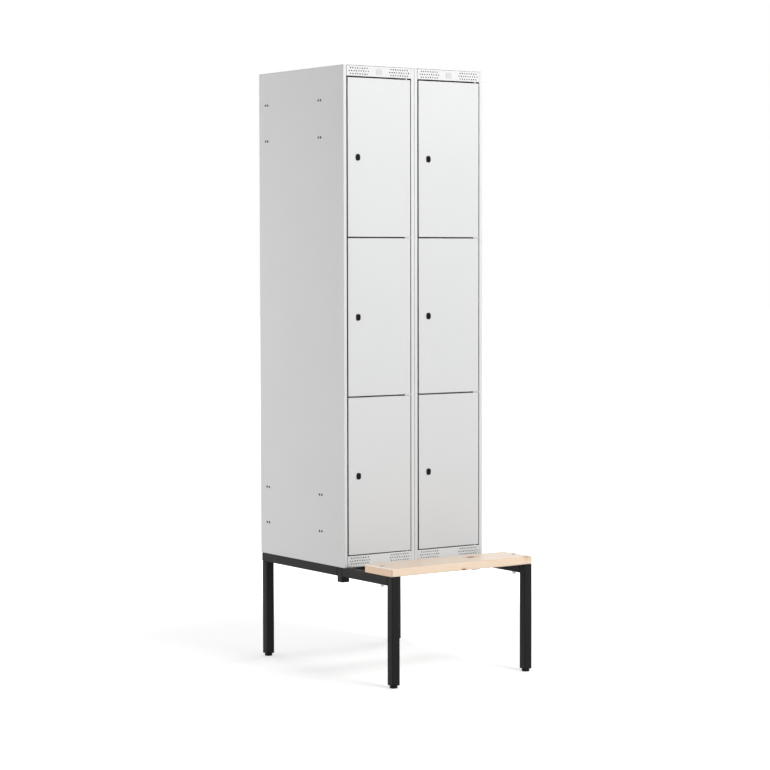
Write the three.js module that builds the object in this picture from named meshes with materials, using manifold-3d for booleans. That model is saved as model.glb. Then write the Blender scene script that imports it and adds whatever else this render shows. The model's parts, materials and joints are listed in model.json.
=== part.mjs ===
// Locker with bench: two folded steel lockers with three doors each, on a square tube frame
// whose front legs carry a pine seat board. Millimetres: x to the right, y to the back, z up.
// The origin is on the floor, under the middle of the whole object.

import * as THREE from 'three';
import { mergeGeometries, mergeVertices } from 'three/addons/utils/BufferGeometryUtils.js';
import Module from 'manifold-3d';

const wasm = await Module();
wasm.setup();

// Driving sizes of the whole object
const totalWidth = 600;
const lockerDepth = 550;
const lockerHeight = 1740;
const frameHeight = 380;
const benchReach = 290;
const lockerNames = ['left', 'right'];
const tierNames = ['bottom', 'middle', 'top'];
const shelfNames = ['lower', 'upper'];

// Clearances: between fixed neighbours, under what turns, and past the faces that a cut leaves
const seam = 0.3;
const seatClearance = 0.4;
const overrun = 1;

// Locker bodies of folded sheet
const sheet = 1;
const bendRadius = 2;
const bendSteps = 2;
const latchStile = 13.5;
const hingeStile = 14.4;
const stileReturn = 18;
const backReturn = 12;
const headerHeight = 38;
const plinthHeight = 40;
const coverReturn = 12;
const roofFlange = 15;
const floorFlange = 20;
const endFlangeInset = 22;
const shelfLip = 18;
const shelfFlange = 15;
const shelfSetback = 27;

// Ventilation holes in header and plinth: two groups of three staggered rows
const ventRadius = 2.6;
const ventSides = 6;
const ventPitch = 10;
const ventRowPitch = 10;
const ventLongRow = 9;
const ventRows = [-1, 0, 1];
const ventGroupOffset = 85;
const ventFromDoor = 18;

// Pairs of fixing holes in the side walls, measured from the front, the back and both ends
const fixingRadius = 3.25;
const fixingSides = 6;
const fixingPitch = 15;
const fixingFromFront = 150;
const fixingFromBack = 52;
const fixingOuterFromEnd = 115;
const fixingInnerFromEnd = 244;

// Doors: folded trays with a channel welded up the middle
const latchGap = 5;
const hingeGap = 2.6;
const topGap = 4.5;
const middleGap = 4.5;
const bottomGap = 3;
const doorSheet = 1;
const doorThickness = 16;
const doorLip = 12;
const stiffenerWidth = 50;
const stiffenerDepth = 12;
const stiffenerFromEnd = 40;

// Pivots of the doors: fixed pins, with a collar or tab that the door turns on
const pinRadius = 3;
const pinSides = 8;
const pinClearance = 0.4;
const pinReach = 8;
const pinFromEdge = 15;
const pinFromFront = 6;
const pinHoleSides = 8;
const collarRadius = 4.5;
const tabReach = 9;
const tabFromFront = 1;
const tabDepth = 12;
const tabRadius = 4;

// Cam locks
const lockFromEdge = 41.5;
const lockSides = 10;
const bezelWidth = 18;
const bezelHeight = 22.5;
const bezelRadius = 6;
const bezelSteps = 2;
const bezelProud = 2.5;
const barrelRadius = 8;
const barrelClearance = 0.3;
const lockNutRadius = 13;
const lockNutHeight = 4;
const hexSides = 6;
const coreRadius = 6;
const coreClearance = 0.5;
const coreRecess = 0.6;
const keySlotWidth = 1.6;
const keySlotHeight = 7;
const keySlotDepth = 4;
const camGap = 2;
const camThickness = 2;
const camWidth = 16;
const camReach = 50;
const camRadius = 5;
const camSteps = 2;
const camNutRadius = 5.5;
const camNutHeight = 3.5;

// Tube frame
const tube = 32;
const tubeWall = 2;
const tubeRadius = 4;
const tubeSteps = 2;
const tubeCap = 3;
const frameFromBack = 8;
const postFromFront = 15;
const postLength = 52;

// Levelling feet
const footHeight = 10;
const footRadius = 14;
const footChamfer = 1.5;
const footShoulder = 3;
const footCollarRadius = 9;
const footSides = 12;
const stemRadius = 5;
const stemLength = 36;
const stemTip = 1;
const stemClearance = 0.4;

// Bench board and its bolts
const boardDepth = 165;
const boardThickness = 28;
const boardFromSide = 1;
const boardRadius = 4;
const boardSteps = 3;
const boltRadius = 4;
const boltClearance = 0.5;
const boltSides = 12;
const boltSeatDepth = 1.5;
const boltSeatClearance = 1;
const boltHeadRadius = 9;
const boltHeadHeight = 4;
const boltHeadRim = 1;
const boltHeadSteps = 3;
const boltTail = 3;
const benchNutRadius = 7.5;
const benchNutHeight = 7;

// Places worked out from the sizes above
const lockerWidth = (totalWidth - seam * (lockerNames.length - 1)) / lockerNames.length;
const benchFront = -(lockerDepth + benchReach) / 2;
const lockerFront = benchFront + benchReach;
const lockerBack = lockerFront + lockerDepth;
const wallBottom = sheet + seam;
const wallTop = lockerHeight - sheet - seam;
const innerLeft = sheet + seam;
const innerRight = lockerWidth - sheet - seam;
const backPanelRear = lockerDepth - sheet - seam;
const innerBack = backPanelRear - sheet - seam;
const headerBottom = lockerHeight - headerHeight;
const hingeStileEdge = lockerWidth - hingeStile;
const doorLeft = latchStile + latchGap;
const doorWidth = hingeStileEdge - hingeGap - doorLeft;
const doorsBottom = plinthHeight + bottomGap;
const middleGaps = middleGap * (tierNames.length - 1);
const doorHeight = (headerBottom - topGap - doorsBottom - middleGaps) / tierNames.length;
const doorPitch = doorHeight + middleGap;
const pinX = doorLeft + doorWidth - pinFromEdge;
const bezelFront = -bezelProud;
const camFront = stileReturn + camGap;
const camBack = camFront + camThickness;
const tubeHalf = tube / 2;
const sideTubeX = totalWidth / 2 - tubeHalf;
const railTop = frameHeight - seam;
const railBottom = railTop - tube;
const railMiddle = railTop - tubeHalf;
const frameBack = lockerBack - frameFromBack;
const rearTubeY = frameBack - tubeHalf;
const postY = lockerFront + postFromFront + tubeHalf;
const frontLegY = benchFront + tubeHalf;
const boltY = benchFront + boardDepth / 2;
const boardTop = frameHeight + boardThickness;
const boltSeat = boardTop - boltSeatDepth;

const finishes = {
  lightGrey: { color: 0xd7d8d7, roughness: 0.45, metalness: 0 },
  blackPaint: { color: 0x2b2b2d, roughness: 0.5, metalness: 0 },
  pine: { color: 0xe3c7a2, roughness: 0.6, metalness: 0 },
  zinc: { color: 0x9c9d9f, roughness: 0.35, metalness: 1 },
  blackPlastic: { color: 0x121213, roughness: 0.4, metalness: 0 },
};

// Outlines

function point(x, y) {
  return new THREE.Vector2(x, y);
}

function circle(centre, radius, sides) {
  return Array.from({ length: sides }, (_, side) => {
    const angle = (2 * Math.PI * (side + 1 / 2)) / sides;
    return point(centre.x + radius * Math.cos(angle), centre.y + radius * Math.sin(angle));
  });
}

function quarterArc(centre, radius, startAngle, steps) {
  return Array.from({ length: steps + 1 }, (_, step) => {
    const angle = startAngle + (Math.PI / 2) * (step / steps);
    return point(centre.x + radius * Math.cos(angle), centre.y + radius * Math.sin(angle));
  });
}

function roundedRectangle(low, high, radius, steps) {
  const centres = [
    point(high.x - radius, high.y - radius),
    point(low.x + radius, high.y - radius),
    point(low.x + radius, low.y + radius),
    point(high.x - radius, low.y + radius),
  ];
  return centres.flatMap((centre, index) => quarterArc(centre, radius, (Math.PI / 2) * index, steps));
}

// A sheet folded square along its outer corners. The corners turn clockwise, so the sheet's
// thickness lies to the right of the path.
function foldedSheet(corners) {
  const rightOf = (direction) => point(direction.y, -direction.x);
  const headings = corners.slice(1).map((corner, index) => corner.clone().sub(corners[index]).normalize());
  const outer = [];
  const inner = [];
  corners.forEach((corner, index) => {
    const arriving = headings[index - 1];
    const leaving = headings[index];
    if (!arriving || !leaving) {
      outer.push(corner);
      inner.push(corner.clone().addScaledVector(rightOf(arriving || leaving), sheet));
      return;
    }
    const centre = corner.clone().addScaledVector(arriving, -bendRadius).addScaledVector(leaving, bendRadius);
    for (let step = 0; step <= bendSteps; step += 1) {
      const angle = (Math.PI / 2) * (step / bendSteps);
      const outward = rightOf(arriving).multiplyScalar(-Math.cos(angle));
      outward.addScaledVector(rightOf(leaving), -Math.sin(angle));
      outer.push(centre.clone().addScaledVector(outward, bendRadius));
      inner.push(centre.clone().addScaledVector(outward, bendRadius - sheet));
    }
  });
  return [...outer, ...inner.reverse()];
}

// Solids

function toSolid(geometry) {
  geometry.deleteAttribute('normal');
  geometry.deleteAttribute('uv');
  const merged = mergeVertices(geometry);
  const vertProperties = Float32Array.from(merged.attributes.position.array);
  const triVerts = Uint32Array.from(merged.index.array);
  return new wasm.Manifold(new wasm.Mesh({ numProp: 3, vertProperties, triVerts }));
}

function toGeometry(solid) {
  const mesh = solid.getMesh();
  const indexed = new THREE.BufferGeometry();
  indexed.setAttribute('position', new THREE.BufferAttribute(mesh.vertProperties, mesh.numProp));
  indexed.setIndex(new THREE.BufferAttribute(mesh.triVerts, 1));
  const flat = indexed.toNonIndexed();
  flat.computeVertexNormals();
  return flat;
}

function join(first, ...others) {
  return others.reduce((sum, other) => sum.add(other), first);
}

function cut(first, ...tools) {
  return tools.reduce((rest, tool) => rest.subtract(tool), first);
}

// Draws an outline square to an axis and extrudes it along that axis. The outline's own two
// directions are x and y along z, y and z along x, and z and x along y.
function prismGeometry(outline, axis, from, to) {
  const shape = outline instanceof THREE.Shape ? outline : new THREE.Shape(outline);
  const geometry = new THREE.ExtrudeGeometry(shape, { depth: to - from, bevelEnabled: false });
  geometry.translate(0, 0, from);
  const right = new THREE.Vector3(1, 0, 0);
  const back = new THREE.Vector3(0, 1, 0);
  const up = new THREE.Vector3(0, 0, 1);
  const bases = { x: [back, up, right], y: [up, right, back], z: [right, back, up] };
  return geometry.applyMatrix4(new THREE.Matrix4().makeBasis(...bases[axis]));
}

function prism(outline, axis, from, to) {
  return toSolid(prismGeometry(outline, axis, from, to));
}

function boxBetween(low, high) {
  const [width, depth, height] = high.map((value, index) => value - low[index]);
  const [x, y, z] = high.map((value, index) => (value + low[index]) / 2);
  return toSolid(new THREE.BoxGeometry(width, depth, height).translate(x, y, z));
}

// Turns a profile of radii and heights round the z axis. It starts and ends on the axis.
function turned(profile, sides) {
  const geometry = new THREE.LatheGeometry(profile, sides).rotateX(Math.PI / 2);
  const merged = mergeVertices(geometry.deleteAttribute('normal').deleteAttribute('uv'));
  const corners = Array.from(merged.index.array);
  const kept = corners.filter((_, place) => {
    const first = place - (place % 3);
    const [a, b, c] = corners.slice(first, first + 3);
    return a !== b && b !== c && c !== a;
  });
  merged.setIndex(kept);
  return toSolid(merged);
}

function addPiece(group, name, solid, finish) {
  const mesh = new THREE.Mesh(toGeometry(solid), new THREE.MeshStandardMaterial(finishes[finish]));
  mesh.name = name;
  group.add(mesh);
  return mesh;
}

function addGroup(parent, x, y, z) {
  const group = new THREE.Group();
  group.position.set(x, y, z);
  parent.add(group);
  return group;
}

// Locker body, in the locker's own axes: from its left side, its front and its underside

function fixingHoles(wallX) {
  const setbacks = [fixingFromFront, lockerDepth - fixingFromBack];
  const fromEnds = [fixingOuterFromEnd, fixingInnerFromEnd];
  const heights = fromEnds.flatMap((height) => [height, lockerHeight - height]);
  const places = heights.flatMap((z) => setbacks.flatMap((y) => [
    point(y - fixingPitch / 2, z),
    point(y + fixingPitch / 2, z),
  ]));
  const holes = places.map((place) => prismGeometry(
    circle(place, fixingRadius, fixingSides),
    'x',
    wallX - overrun,
    wallX + sheet + overrun,
  ));
  return toSolid(mergeGeometries(holes));
}

function latchSide(isOutside) {
  const outline = foldedSheet([
    point(latchStile, stileReturn),
    point(latchStile, 0),
    point(0, 0),
    point(0, lockerDepth),
    point(backReturn, lockerDepth),
  ]);
  const wall = prism(outline, 'z', wallBottom, wallTop);
  return isOutside ? cut(wall, fixingHoles(0)) : wall;
}

function pinSolid(from, to) {
  return prism(circle(point(pinX, pinFromFront), pinRadius, pinSides), 'z', from, to);
}

function collarSolid(from, to) {
  return prism(circle(point(pinX, pinFromFront), collarRadius, pinSides), 'z', from, to);
}

// The tab between two doors is welded to the stile and carries the pin that both turn on.
function hingeTab(gapBottom) {
  const tabBottom = gapBottom + seatClearance;
  const tabTop = gapBottom + middleGap - seatClearance;
  const tabLeft = pinX - tabReach;
  const tabRear = tabFromFront + tabDepth;
  const weld = hingeStileEdge + sheet / 2;
  const outline = [
    point(weld, tabFromFront),
    point(weld, tabRear),
    ...quarterArc(point(tabLeft + tabRadius, tabRear - tabRadius), tabRadius, Math.PI / 2, bendSteps),
    ...quarterArc(point(tabLeft + tabRadius, tabFromFront + tabRadius), tabRadius, Math.PI, bendSteps),
  ];
  const plate = prism(outline, 'z', tabBottom, tabTop);
  return join(plate, pinSolid(gapBottom - pinReach, gapBottom + middleGap + pinReach));
}

function hingeSide(isOutside) {
  const outline = foldedSheet([
    point(lockerWidth - backReturn, lockerDepth),
    point(lockerWidth, lockerDepth),
    point(lockerWidth, 0),
    point(hingeStileEdge, 0),
    point(hingeStileEdge, stileReturn),
  ]);
  const tabs = shelfNames.map((_, index) => hingeTab(doorsBottom + doorHeight + index * doorPitch));
  const wall = join(prism(outline, 'z', wallBottom, wallTop), ...tabs);
  return isOutside ? cut(wall, fixingHoles(lockerWidth - sheet)) : wall;
}

function backPanel() {
  const fromSide = sheet + bendRadius;
  return boxBetween(
    [fromSide, backPanelRear - sheet, wallBottom],
    [lockerWidth - fromSide, backPanelRear, wallTop],
  );
}

// A plate over the whole locker with a flange inside its sides and back.
function endTray(plateBottom, flangeFrom, flangeTo) {
  const plan = roundedRectangle(point(0, 0), point(lockerWidth, lockerDepth), bendRadius, bendSteps);
  const flange = foldedSheet([
    point(innerLeft, endFlangeInset),
    point(innerLeft, innerBack),
    point(innerRight, innerBack),
    point(innerRight, endFlangeInset),
  ]);
  return join(
    prism(plan, 'z', plateBottom, plateBottom + sheet),
    prism(flange, 'z', flangeFrom, flangeTo),
  );
}

function roofTray() {
  const plateBottom = lockerHeight - sheet;
  return endTray(plateBottom, plateBottom - roofFlange, plateBottom + sheet / 2);
}

function floorTray() {
  return endTray(0, sheet / 2, sheet + floorFlange);
}

// Folded down on all four sides, with a notch at each corner where the folds meet.
function shelfTray(top) {
  const frontToBack = foldedSheet([
    point(shelfSetback, top - shelfLip),
    point(shelfSetback, top),
    point(innerBack, top),
    point(innerBack, top - shelfFlange),
  ]);
  const sideToSide = foldedSheet([
    point(top - shelfFlange, innerRight),
    point(top, innerRight),
    point(top, innerLeft),
    point(top - shelfFlange, innerLeft),
  ]);
  return join(
    prism(frontToBack, 'x', innerLeft + bendRadius, innerRight - bendRadius),
    prism(sideToSide, 'y', shelfSetback + bendRadius, innerBack - bendRadius),
  );
}

function ventHoles(middleZ) {
  const holes = [-1, 1].flatMap((side) => ventRows.flatMap((row) => {
    const count = ventLongRow - Math.abs(row);
    return Array.from({ length: count }, (_, index) => {
      const fromGroup = (index - (count - 1) / 2) * ventPitch;
      const x = lockerWidth / 2 + side * ventGroupOffset + fromGroup;
      const place = point(middleZ + row * ventRowPitch, x);
      return prismGeometry(circle(place, ventRadius, ventSides), 'y', -overrun, sheet + overrun);
    });
  }));
  return toSolid(mergeGeometries(holes));
}

// A perforated strip between the two stiles, folded back above and below.
function frontStrip(profile, ventZ) {
  const strip = prism(foldedSheet(profile), 'x', latchStile + seam, hingeStileEdge - seam);
  return cut(strip, ventHoles(ventZ));
}

function headerStrip() {
  const strip = frontStrip([
    point(stileReturn, headerBottom),
    point(0, headerBottom),
    point(0, wallTop),
    point(coverReturn, wallTop),
  ], headerBottom + ventFromDoor);
  const collar = collarSolid(headerBottom - topGap + seatClearance, headerBottom + sheet / 2);
  return join(strip, collar, pinSolid(headerBottom - topGap - pinReach, headerBottom + 2 * sheet));
}

function plinthStrip() {
  const strip = frontStrip([
    point(coverReturn, wallBottom),
    point(0, wallBottom),
    point(0, plinthHeight),
    point(stileReturn, plinthHeight),
  ], plinthHeight - ventFromDoor);
  const collar = collarSolid(plinthHeight - sheet / 2, doorsBottom - seatClearance);
  return join(strip, collar, pinSolid(plinthHeight - 2 * sheet, doorsBottom + pinReach));
}

// Door, in its own axes: from its latch edge, its front and its lower edge

// The door's outline with its front edges bent, made smaller all round by an inset.
function doorBlock(inset) {
  const radius = bendRadius - inset;
  const front = inset + radius;
  const back = doorThickness - inset;
  const bentFront = (low, high) => [
    ...quarterArc(point(front, low + radius), radius, Math.PI, bendSteps),
    point(back, low),
    point(back, high),
    ...quarterArc(point(front, high - radius), radius, Math.PI / 2, bendSteps),
  ];
  const upright = bentFront(inset, doorHeight - inset);
  const plan = bentFront(inset, doorWidth - inset).map((corner) => point(corner.y, corner.x));
  return prism(plan, 'z', inset, doorHeight - inset).intersect(prism(upright, 'x', inset, doorWidth - inset));
}

function doorStiffener() {
  const left = (doorWidth - stiffenerWidth) / 2;
  const outline = foldedSheet([
    point(left, doorSheet / 2),
    point(left, stiffenerDepth),
    point(left + stiffenerWidth, stiffenerDepth),
    point(left + stiffenerWidth, doorSheet / 2),
  ]);
  return prism(outline, 'z', stiffenerFromEnd, doorHeight - stiffenerFromEnd);
}

function doorTray() {
  const mouth = boxBetween(
    [doorLip, doorThickness - doorSheet - overrun, doorLip],
    [doorWidth - doorLip, doorThickness + overrun, doorHeight - doorLip],
  );
  const pinPlace = point(doorWidth - pinFromEdge, pinFromFront);
  const pinHole = circle(pinPlace, pinRadius + pinClearance, pinHoleSides);
  const lockHole = circle(point(doorHeight / 2, lockFromEdge), barrelRadius + barrelClearance, lockSides);
  const tray = cut(
    doorBlock(0),
    doorBlock(doorSheet),
    mouth,
    prism(pinHole, 'z', -overrun, doorSheet + overrun),
    prism(pinHole, 'z', doorHeight - doorSheet - overrun, doorHeight + overrun),
    prism(lockHole, 'y', -overrun, doorSheet + overrun),
  );
  return join(tray, doorStiffener());
}

// Cam lock, in its own axes: from the middle of the lock and the front of the door

function lockHousing() {
  const axis = point(0, 0);
  const low = point(-bezelHeight / 2, -bezelWidth / 2);
  const high = point(bezelHeight / 2, bezelWidth / 2);
  const nutFront = doorSheet + seam;
  return cut(
    join(
      prism(roundedRectangle(low, high, bezelRadius, bezelSteps), 'y', bezelFront, -seam),
      prism(circle(axis, barrelRadius, lockSides), 'y', bezelFront / 2, camFront - seatClearance),
      prism(circle(axis, lockNutRadius, hexSides), 'y', nutFront, nutFront + lockNutHeight),
    ),
    prism(circle(axis, coreRadius + coreClearance, lockSides), 'y', bezelFront - overrun, camFront + overrun),
  );
}

// The key slot and the cam stand upright while the lock is open.
function lockCam() {
  const axis = point(0, 0);
  const coreFront = bezelFront + coreRecess;
  const low = point(-camWidth / 2, -camWidth / 2);
  const high = point(camReach, camWidth / 2);
  const camMiddle = camFront + camThickness / 2;
  const core = cut(
    prism(circle(axis, coreRadius, lockSides), 'y', coreFront, camMiddle),
    boxBetween(
      [-keySlotWidth / 2, coreFront - overrun, -keySlotHeight / 2],
      [keySlotWidth / 2, coreFront + keySlotDepth, keySlotHeight / 2],
    ),
  );
  return join(
    core,
    prism(roundedRectangle(low, high, camRadius, camSteps), 'y', camFront, camBack),
    prism(circle(axis, camNutRadius, hexSides), 'y', camMiddle, camBack + camNutHeight),
  );
}

// Frame, bench and feet, in the axes of the whole object

function tubeOutline(centre, inset) {
  const half = tubeHalf - inset;
  const low = point(centre.x - half, centre.y - half);
  const high = point(centre.x + half, centre.y + half);
  return roundedRectangle(low, high, tubeRadius - inset, tubeSteps);
}

function squareTube(centre, axis, from, to) {
  const section = new THREE.Shape(tubeOutline(centre, 0));
  section.holes.push(new THREE.Path(tubeOutline(centre, tubeWall)));
  return prism(section, axis, from, to);
}

// A tube with a plate welded inside one of its ends.
function cappedTube(centre, axis, from, to, capFrom) {
  const cap = prism(tubeOutline(centre, tubeWall / 2), axis, capFrom, capFrom + tubeCap);
  return join(squareTube(centre, axis, from, to), cap);
}

function boltHole(x, radius) {
  return prism(circle(point(x, boltY), radius, boltSides), 'z', railBottom - overrun, boardTop + overrun);
}

function sideRail(x) {
  const front = postY + tubeHalf + seam;
  return cappedTube(point(railMiddle, x), 'y', front, frameBack, frameBack - tubeWall - tubeCap);
}

function extensionRail(x) {
  const rail = squareTube(point(railMiddle, x), 'y', frontLegY + tubeHalf + seam, postY - tubeHalf - seam);
  return cut(rail, boltHole(x, boltRadius + boltClearance));
}

function leg(x, y, top) {
  const post = cappedTube(point(x, y), 'z', footHeight, top, footHeight);
  const stemHole = circle(point(x, y), stemRadius + stemClearance, footSides);
  return cut(post, prism(stemHole, 'z', footHeight - overrun, footHeight + tubeCap + overrun));
}

function cornerPost(x) {
  const bottom = railTop - postLength;
  return cappedTube(point(x, postY), 'z', bottom, railTop, bottom);
}

function crossbar(y) {
  const end = sideTubeX - tubeHalf - seam;
  return squareTube(point(y, railMiddle), 'x', -end, end);
}

function levellingFoot() {
  const padTop = footHeight - seam;
  const stemTop = padTop + stemLength;
  return turned([
    point(0, 0),
    point(footRadius - footChamfer, 0),
    point(footRadius, footChamfer),
    point(footRadius, footHeight - footShoulder),
    point(footCollarRadius, padTop),
    point(stemRadius, padTop),
    point(stemRadius, stemTop - stemTip),
    point(stemRadius - stemTip, stemTop),
    point(0, stemTop),
  ], footSides);
}

function benchBoard() {
  const low = point(benchFront, frameHeight);
  const high = point(benchFront + boardDepth, boardTop);
  const end = totalWidth / 2 - boardFromSide;
  const holes = [-sideTubeX, sideTubeX].map((x) => {
    const seat = circle(point(x, boltY), boltHeadRadius + boltSeatClearance, boltSides);
    return join(boltHole(x, boltRadius + boltClearance), prism(seat, 'z', boltSeat, boardTop + overrun));
  });
  return cut(prism(roundedRectangle(low, high, boardRadius, boardSteps), 'x', -end, end), ...holes);
}

// Domed head above a plain shank, from the tail of the bolt upwards.
function benchBolt() {
  const headBottom = boltSeat + seam;
  const tail = railBottom - seam - benchNutHeight - boltTail;
  const dome = quarterArc(point(0, 0), 1, 0, boltHeadSteps).slice(0, -1);
  return turned([
    point(0, tail),
    point(boltRadius, tail),
    point(boltRadius, headBottom),
    point(boltHeadRadius, headBottom),
    ...dome.map((unit) => point(
      boltHeadRadius * unit.x,
      headBottom + boltHeadRim + (boltHeadHeight - boltHeadRim) * unit.y,
    )),
    point(0, headBottom + boltHeadHeight),
  ], boltSides);
}

function benchNut(x) {
  const top = railBottom - seam;
  const bottom = top - benchNutHeight;
  const hexagon = circle(point(x, boltY), benchNutRadius, hexSides);
  const hole = circle(point(x, boltY), boltRadius + boltClearance, boltSides);
  return cut(prism(hexagon, 'z', bottom, top), prism(hole, 'z', bottom - overrun, top + overrun));
}

// Assembly

// Only the outer walls show their fixing holes. Where two lockers meet, screws fill them.
function addLockerBody(group, side) {
  const isFirst = side === lockerNames[0];
  const isLast = side === lockerNames[lockerNames.length - 1];
  addPiece(group, `${side}_locker_left_side`, latchSide(isFirst), 'lightGrey');
  addPiece(group, `${side}_locker_right_side`, hingeSide(isLast), 'lightGrey');
  addPiece(group, `${side}_locker_back`, backPanel(), 'lightGrey');
  addPiece(group, `${side}_locker_roof`, roofTray(), 'lightGrey');
  addPiece(group, `${side}_locker_floor`, floorTray(), 'lightGrey');
  addPiece(group, `${side}_locker_header`, headerStrip(), 'lightGrey');
  addPiece(group, `${side}_locker_plinth`, plinthStrip(), 'lightGrey');
  shelfNames.forEach((shelf, index) => {
    const top = doorsBottom + doorHeight + middleGap / 2 + index * doorPitch;
    addPiece(group, `${side}_locker_${shelf}_shelf`, shelfTray(top), 'lightGrey');
  });
}

function addDoors(group, side) {
  tierNames.forEach((tier, index) => {
    const door = addGroup(group, doorLeft, 0, doorsBottom + index * doorPitch);
    addPiece(door, `${side}_${tier}_door`, doorTray(), 'lightGrey');
    const lock = addGroup(door, lockFromEdge, 0, doorHeight / 2);
    addPiece(lock, `${side}_${tier}_lock_housing`, lockHousing(), 'blackPlastic');
    addPiece(lock, `${side}_${tier}_lock_cam`, lockCam(), 'blackPlastic');
  });
}

function addFrameSide(group, side, x) {
  addPiece(group, `${side}_side_rail`, sideRail(x), 'blackPaint');
  addPiece(group, `${side}_extension_rail`, extensionRail(x), 'blackPaint');
  addPiece(group, `${side}_rear_leg`, leg(x, rearTubeY, railBottom - seam), 'blackPaint');
  addPiece(group, `${side}_front_leg`, leg(x, frontLegY, railTop), 'blackPaint');
  addPiece(group, `${side}_corner_post`, cornerPost(x), 'blackPaint');
  const rearFoot = addPiece(group, `${side}_rear_foot`, levellingFoot(), 'blackPlastic');
  rearFoot.position.set(x, rearTubeY, 0);
  const frontFoot = addPiece(group, `${side}_front_foot`, levellingFoot(), 'blackPlastic');
  frontFoot.position.set(x, frontLegY, 0);
  const bolt = addPiece(group, `${side}_bench_bolt`, benchBolt(), 'zinc');
  bolt.position.set(x, boltY, 0);
  addPiece(group, `${side}_bench_nut`, benchNut(x), 'zinc');
}

function buildLockerWithBench() {
  const whole = new THREE.Group();
  lockerNames.forEach((side, index) => {
    const left = index * (lockerWidth + seam) - totalWidth / 2;
    const locker = addGroup(whole, left, lockerFront, frameHeight);
    addLockerBody(locker, side);
    addDoors(locker, side);
  });
  addFrameSide(whole, 'left', -sideTubeX);
  addFrameSide(whole, 'right', sideTubeX);
  addPiece(whole, 'front_crossbar', crossbar(postY), 'blackPaint');
  addPiece(whole, 'rear_crossbar', crossbar(rearTubeY), 'blackPaint');
  addPiece(whole, 'bench_board', benchBoard(), 'pine');
  return whole;
}

export default buildLockerWithBench();
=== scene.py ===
"""Looks of the locker with bench: finishes, small fittings, light and camera. Lengths are in metres."""

import json
import math

import bmesh
import bpy
from mathutils import Matrix, Vector


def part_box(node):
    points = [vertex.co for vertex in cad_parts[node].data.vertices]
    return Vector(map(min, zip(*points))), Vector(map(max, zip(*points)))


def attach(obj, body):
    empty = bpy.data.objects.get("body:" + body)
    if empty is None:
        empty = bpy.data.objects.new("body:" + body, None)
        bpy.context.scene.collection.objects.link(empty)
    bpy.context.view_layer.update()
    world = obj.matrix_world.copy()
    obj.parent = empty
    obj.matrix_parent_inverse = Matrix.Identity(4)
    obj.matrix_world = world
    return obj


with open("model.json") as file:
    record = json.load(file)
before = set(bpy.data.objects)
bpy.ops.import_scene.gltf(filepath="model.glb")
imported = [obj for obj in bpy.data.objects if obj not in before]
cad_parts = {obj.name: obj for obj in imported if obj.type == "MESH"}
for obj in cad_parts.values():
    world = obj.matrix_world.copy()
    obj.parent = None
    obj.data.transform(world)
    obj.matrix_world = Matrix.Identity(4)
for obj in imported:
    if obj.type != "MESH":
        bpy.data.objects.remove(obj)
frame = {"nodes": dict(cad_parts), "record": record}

MM = 0.001
STAND = "cabinet_and_stand"
SIDES = ("left", "right")
NODES = frame["nodes"]
SCENE = bpy.context.scene

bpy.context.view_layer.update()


# Node trees

# Places of the sockets of a Mix node that blends colours
MIX_SHARE = 0
MIX_FIRST = 6
MIX_SECOND = 7
MIX_RESULT = 2

# Nearly all values of a noise lie in the first span, and clouds use the narrower second one
NOISE_SPAN = (0.3, 0.7)
CLOUD_SPAN = (0.32, 0.68)


def feed(tree, socket, value):
    """Gives a socket a value or another node's output."""
    if isinstance(value, bpy.types.NodeSocket):
        tree.links.new(value, socket)
    else:
        socket.default_value = value


def add(tree, kind, inputs=None, **settings):
    """Adds a shader node. Each input takes a value or another node's output."""
    made = tree.nodes.new(kind)
    for name, value in settings.items():
        setattr(made, name, value)
    for name, value in (inputs or {}).items():
        feed(tree, made.inputs[name], value)
    return made


def number(tree, operation, first, second=0.0):
    return add(tree, "ShaderNodeMath", {0: first, 1: second}, operation=operation).outputs[0]


def product(tree, first, second):
    return number(tree, "MULTIPLY", first, second)


def vector(tree, operation, first, second=(0.0, 0.0, 0.0)):
    made = add(tree, "ShaderNodeVectorMath", {0: first, 1: second}, operation=operation)
    return made.outputs["Value" if operation == "LENGTH" else "Vector"]


def stretched(tree, place, factors):
    return vector(tree, "MULTIPLY", place, factors)


def scaled(tree, value, factor):
    """A colour or a vector times one number."""
    made = add(tree, "ShaderNodeVectorMath", {0: value, "Scale": factor}, operation="SCALE")
    return made.outputs["Vector"]


def split(tree, value):
    """The X, Y and Z of a vector."""
    return add(tree, "ShaderNodeSeparateXYZ", {0: value}).outputs


def blend_colours(tree, share, first, second):
    made = add(tree, "ShaderNodeMix", data_type="RGBA")
    for index, value in ((MIX_SHARE, share), (MIX_FIRST, first), (MIX_SECOND, second)):
        feed(tree, made.inputs[index], value)
    return made.outputs[MIX_RESULT]


def remap(tree, value, span, target=(0.0, 1.0), smooth=False):
    """Takes a value from one range to another, and holds it there."""
    inputs = {
        "Value": value,
        "From Min": span[0], "From Max": span[1],
        "To Min": target[0], "To Max": target[1],
    }
    kind = "SMOOTHSTEP" if smooth else "LINEAR"
    return add(tree, "ShaderNodeMapRange", inputs, interpolation_type=kind).outputs["Result"]


def noise(tree, place, scale, detail, roughness=0.5, output="Fac"):
    inputs = {"Vector": place, "Scale": scale, "Detail": detail, "Roughness": roughness}
    return add(tree, "ShaderNodeTexNoise", inputs).outputs[output]


def ramp(tree, value, stops):
    made = add(tree, "ShaderNodeValToRGB", {"Fac": value})
    elements = made.color_ramp.elements
    while len(elements) < len(stops):
        elements.new(0.5)
    for element, (position, colour) in zip(elements, stops):
        element.position = position
        element.color = (*colour, 1.0)
    return made.outputs["Color"]


def bump(tree, height, strength, depth, normal=None):
    inputs = {"Height": height, "Strength": strength, "Distance": depth}
    if normal is not None:
        inputs["Normal"] = normal
    return add(tree, "ShaderNodeBump", inputs).outputs["Normal"]


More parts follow.
